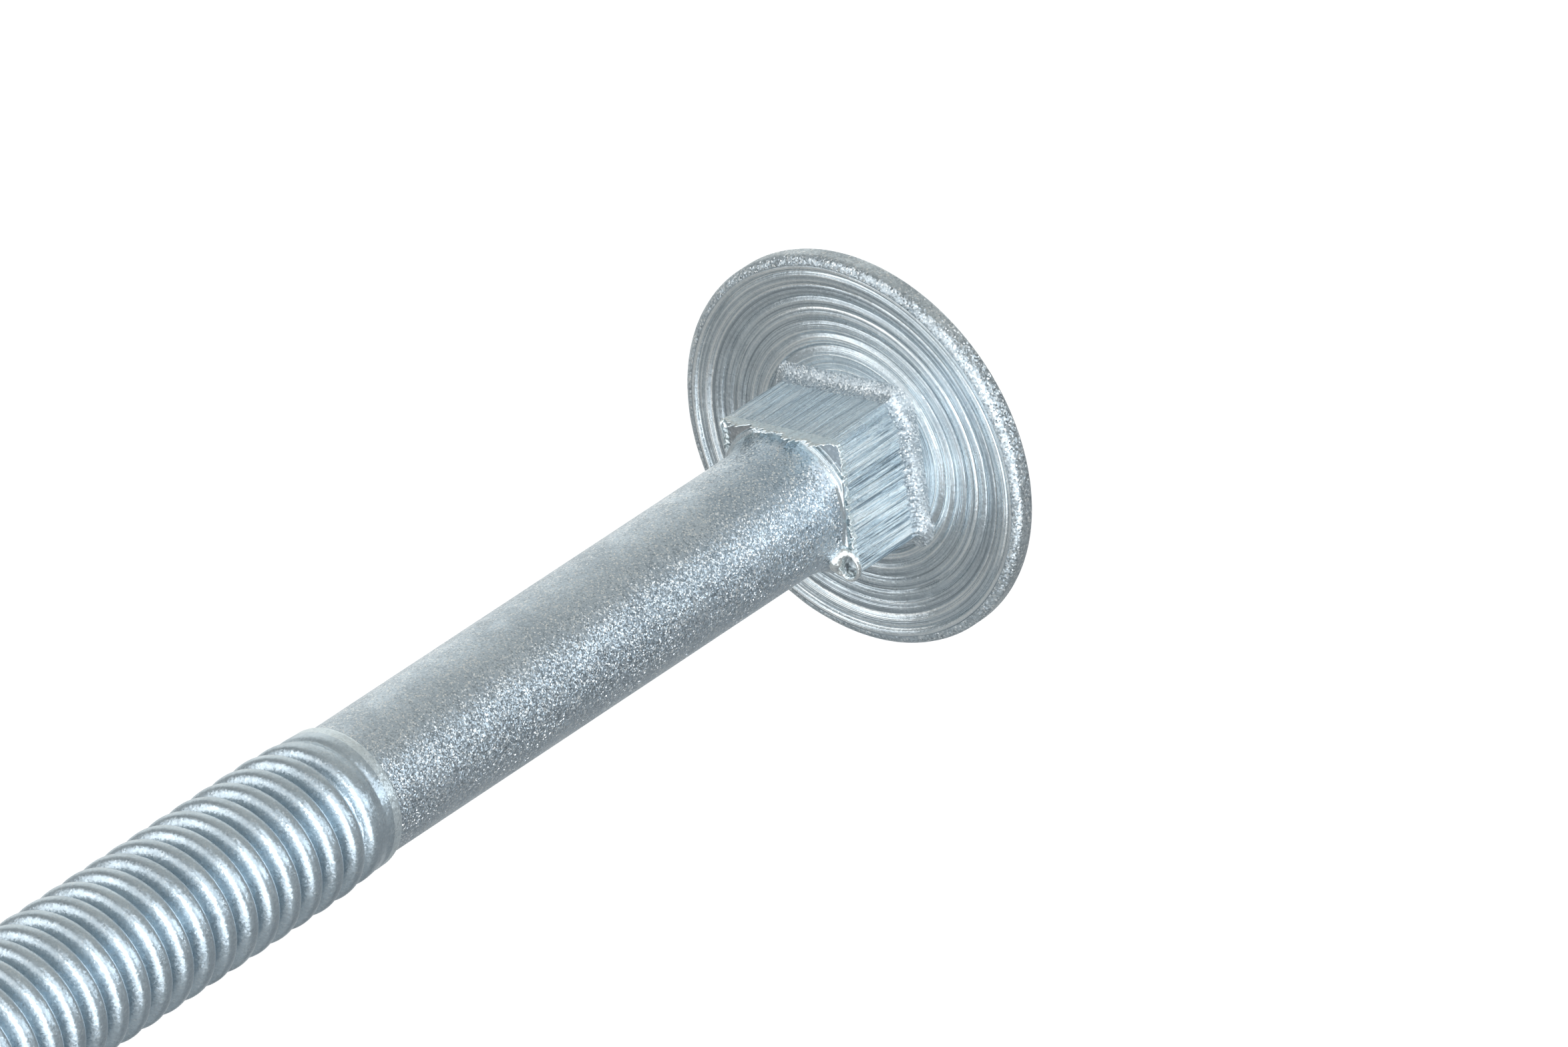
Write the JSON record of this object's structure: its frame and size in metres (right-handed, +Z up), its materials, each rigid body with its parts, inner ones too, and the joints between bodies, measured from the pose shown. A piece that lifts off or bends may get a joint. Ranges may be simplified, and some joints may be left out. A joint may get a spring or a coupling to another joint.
{
  "type": "carriage bolt",
  "caption": "Zinc-plated carriage bolt with a round mushroom head, a square neck that locks in wood, a plain shank and a coarse right-hand thread.",
  "frame": {"origin": "middle of the bolt's footprint on the surface that it lies on", "axes": "+Z up, +X along the bolt's length towards its tip, +Y to the side"},
  "size_m": [0.0608, 0.0164, 0.0164],
  "materials": {
    "zinc": "bright zinc plating, blue-white, worn and speckled"
  },
  "bodies": {
    "root": {"bolt": "zinc"}
  },
  "joints": []
}
